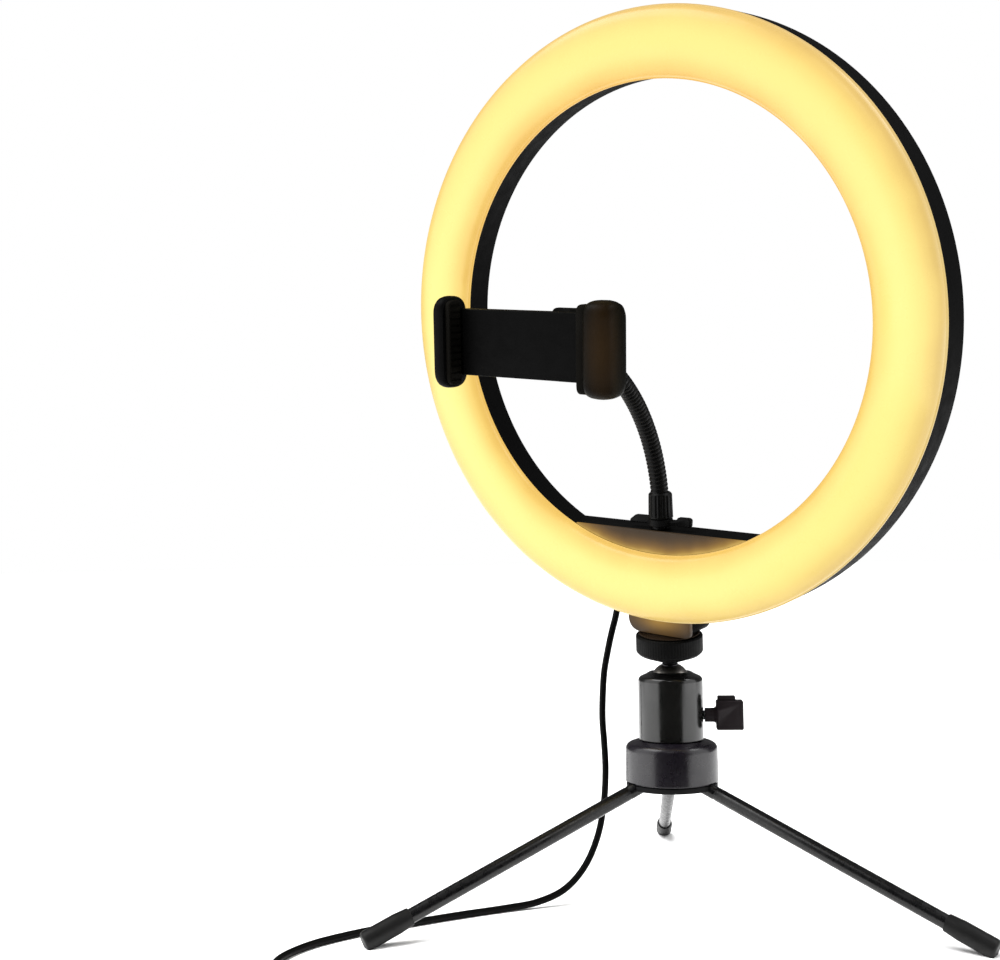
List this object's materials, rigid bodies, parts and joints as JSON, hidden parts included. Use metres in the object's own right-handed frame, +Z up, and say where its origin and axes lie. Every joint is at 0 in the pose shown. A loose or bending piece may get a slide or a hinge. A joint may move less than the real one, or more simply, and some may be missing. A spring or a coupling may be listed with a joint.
{
  "type": "ring light",
  "caption": "Desktop LED ring light on a ball head and folding mini tripod, with a phone clamp on a gooseneck and a USB cord with an inline controller.",
  "frame": {"origin": "on the table, at the centre of the box that holds the light without its cord", "axes": "+Z up, the ring faces -Y, and +X is to the right of a viewer who looks at its front"},
  "size_m": [0.2599, 0.2959, 0.382],
  "materials": {
    "diffuser": "satin translucent, lit warm",
    "housing": "satin moulded",
    "circuit_board": "matte solder mask",
    "fastener": "black oxide",
    "insert": "machined",
    "cord_rubber": "satin moulded",
    "ball_steel": "gloss black plated",
    "knob": "satin, knurled",
    "rubber_pad": "matte",
    "gloss_head": "gloss black lacquer",
    "inner_plastic": "satin",
    "steel": "zinc plated",
    "leg_metal": "semi-gloss black",
    "foot_rubber": "satin",
    "neck_metal": "ribbed, satin black",
    "clamp_plastic": "satin moulded",
    "button": "matte",
    "plug_metal": "nickel plated"
  },
  "bodies": {
    "root": {"hub_shell": "gloss_head", "hub_base": "inner_plastic", "hub_bolt": "steel", "ball_housing": "gloss_head", "ball_seat": "inner_plastic", "leg_pin_1": "steel", "leg_pin_2": "steel", "leg_pin_3": "steel", "cord_drop": "cord_rubber", "controller_bottom": "housing", "controller_top": "housing", "controller_board": "circuit_board", "cord_coil": "cord_rubber", "usb_moulding": "cord_rubber", "usb_shell": "plug_metal"},
    "leg_1": {"leg_1": "leg_metal", "leg_foot_1": "foot_rubber"},
    "leg_2": {"leg_2": "leg_metal", "leg_foot_2": "foot_rubber"},
    "leg_3": {"leg_3": "leg_metal", "leg_foot_3": "foot_rubber"},
    "lock_knob": {"lock_screw": "steel", "lock_knob": "knob"},
    "ball": {"ball": "ball_steel"},
    "stud": {"ball_stud": "ball_steel"},
    "thumb_wheel": {"thumb_wheel": "knob", "wheel_pad": "rubber_pad"},
    "ring_head": {"diffuser": "diffuser", "rear_housing": "housing", "led_board": "circuit_board", "housing_screw_1": "fastener", "housing_screw_2": "fastener", "housing_screw_3": "fastener", "housing_screw_4": "fastener", "driver_cover": "housing", "driver_board": "circuit_board", "foot_cover": "housing", "threaded_insert": "insert", "cord_gland": "cord_rubber", "neck_post": "steel"},
    "wing_nut": {"wing_nut": "knob"},
    "neck_base": {"neck_sleeve": "neck_metal"},
    "neck_1": {"neck_link_1": "neck_metal"},
    "neck_2": {"neck_link_2": "neck_metal"},
    "neck_3": {"neck_link_3": "neck_metal"},
    "neck_4": {"neck_link_4": "neck_metal"},
    "neck_5": {"neck_link_5": "neck_metal", "swivel_cup": "clamp_plastic"},
    "joint_nut": {"joint_nut": "knob"},
    "clamp_ball": {"ball_post": "clamp_plastic"},
    "clamp": {"clamp_plate": "clamp_plastic", "fixed_jaw": "clamp_plastic", "fixed_pad": "rubber_pad", "clamp_spring": "steel"},
    "sliding_jaw": {"sliding_jaw": "clamp_plastic", "sliding_pad": "rubber_pad"},
    "button_1": {"controller_button_1": "button"},
    "button_2": {"controller_button_2": "button"},
    "button_3": {"controller_button_3": "button"},
    "button_4": {"controller_button_4": "button"}
  },
  "joints": [
    {"name": "leg_1_fold", "type": "hinge", "parent": "root", "child": "leg_1", "pos_m": [-0.02237, -0.00564, 0.0533], "axis": [0.891, -0.454, 0], "range_deg": [0, 66]},
    {"name": "leg_2_fold", "type": "hinge", "parent": "root", "child": "leg_2", "pos_m": [-0.00422, 0.00615, 0.0533], "axis": [-0.0523, 0.9986, 0], "range_deg": [0, 66]},
    {"name": "leg_3_fold", "type": "hinge", "parent": "root", "child": "leg_3", "pos_m": [-0.02387, 0.01574, 0.0533], "axis": [-0.8192, -0.5736, 0], "range_deg": [0, 66]},
    {"name": "lock_knob_turn", "type": "hinge", "parent": "root", "child": "lock_knob", "pos_m": [-0.0167, 0.0055, 0.0817], "axis": [0.8192, 0.5736, 0], "range_deg": [0, 270]},
    {"name": "ball_pitch", "type": "hinge", "parent": "root", "child": "ball", "pos_m": [-0.0167, 0.0055, 0.096], "axis": [1, 0, 0], "range_deg": [-40, 20], "deforming": ["cord_drop"]},
    {"name": "ball_roll", "type": "hinge", "parent": "ball", "child": "stud", "pos_m": [-0.0167, 0.0055, 0.096], "axis": [0, 0.9848, 0.1736], "range_deg": [-31, 19], "deforming": ["cord_drop"]},
    {"name": "ring_pan", "type": "hinge", "parent": "stud", "child": "ring_head", "pos_m": [-0.0167, 0.0055, 0.096], "axis": [0.1045, -0.1727, 0.9794], "range_deg": [-90, 90], "deforming": ["cord_drop"]},
    {"name": "thumb_wheel_turn", "type": "hinge", "parent": "stud", "child": "thumb_wheel", "pos_m": [-0.0167, 0.0055, 0.096], "axis": [0.1045, -0.1727, 0.9794], "continuous": true},
    {"name": "wing_nut_turn", "type": "hinge", "parent": "ring_head", "child": "wing_nut", "pos_m": [-0.01046, -0.00947, 0.16825], "axis": [0.1045, -0.1727, 0.9794], "range_deg": [0, 270]},
    {"name": "neck_swivel", "type": "hinge", "parent": "ring_head", "child": "neck_base", "pos_m": [-0.01046, -0.00947, 0.16825], "axis": [0.1045, -0.1727, 0.9794], "range_deg": [-35, 35]},
    {"name": "neck_bend_1", "type": "hinge", "parent": "neck_base", "child": "neck_1", "pos_m": [-0.00907, -0.01244, 0.18117], "axis": [0.9945, 0.0182, -0.1029], "range_deg": [-12, 7]},
    {"name": "neck_bend_2", "type": "hinge", "parent": "neck_1", "child": "neck_2", "pos_m": [-0.00722, -0.01984, 0.19765], "axis": [0.9945, 0.0182, -0.1029], "range_deg": [-12, 7]},
    {"name": "neck_bend_3", "type": "hinge", "parent": "neck_2", "child": "neck_3", "pos_m": [-0.00554, -0.03083, 0.21201], "axis": [0.9945, 0.0182, -0.1029], "range_deg": [-12, 7]},
    {"name": "neck_bend_4", "type": "hinge", "parent": "neck_3", "child": "neck_4", "pos_m": [-0.00409, -0.04482, 0.22349], "axis": [0.9945, 0.0182, -0.1029], "range_deg": [-12, 7]},
    {"name": "neck_bend_5", "type": "hinge", "parent": "neck_4", "child": "neck_5", "pos_m": [-0.00297, -0.06109, 0.23147], "axis": [0.9945, 0.0182, -0.1029], "range_deg": [-12, 7]},
    {"name": "joint_nut_turn", "type": "hinge", "parent": "neck_5", "child": "joint_nut", "pos_m": [-0.00174, -0.09517, 0.23739], "axis": [0.0297, -0.9933, 0.1117], "range_deg": [0, 270]},
    {"name": "clamp_tilt", "type": "hinge", "parent": "neck_5", "child": "clamp_ball", "pos_m": [-0.00174, -0.09517, 0.23739], "axis": [0.9945, 0.0182, -0.1029], "range_deg": [-25, 25]},
    {"name": "clamp_turn", "type": "hinge", "parent": "clamp_ball", "child": "clamp", "pos_m": [-0.00174, -0.09517, 0.23739], "axis": [0, 0.9848, 0.1736], "continuous": true},
    {"name": "jaw_slide", "type": "slide", "parent": "clamp", "child": "sliding_jaw", "axis": [0.9912, 0.023, -0.1302], "range_m": [0, 0.028], "stiffness_N_per_m": 150, "springref_m": -0.02, "deforming": ["clamp_spring"]},
    {"name": "button_1_press", "type": "slide", "parent": "root", "child": "button_1", "axis": [0, 0, -1], "range_m": [0, 0.0008], "stiffness_N_per_m": 400},
    {"name": "button_2_press", "type": "slide", "parent": "root", "child": "button_2", "axis": [0, 0, -1], "range_m": [0, 0.0008], "stiffness_N_per_m": 400},
    {"name": "button_3_press", "type": "slide", "parent": "root", "child": "button_3", "axis": [0, 0, -1], "range_m": [0, 0.0008], "stiffness_N_per_m": 400},
    {"name": "button_4_press", "type": "slide", "parent": "root", "child": "button_4", "axis": [0, 0, -1], "range_m": [0, 0.0008], "stiffness_N_per_m": 400}
  ],
  "couplings": [
    {"joint": "neck_bend_2", "follows": "neck_bend_1", "ratio": 1},
    {"joint": "neck_bend_3", "follows": "neck_bend_1", "ratio": 1},
    {"joint": "neck_bend_4", "follows": "neck_bend_1", "ratio": 1},
    {"joint": "neck_bend_5", "follows": "neck_bend_1", "ratio": 1}
  ]
}
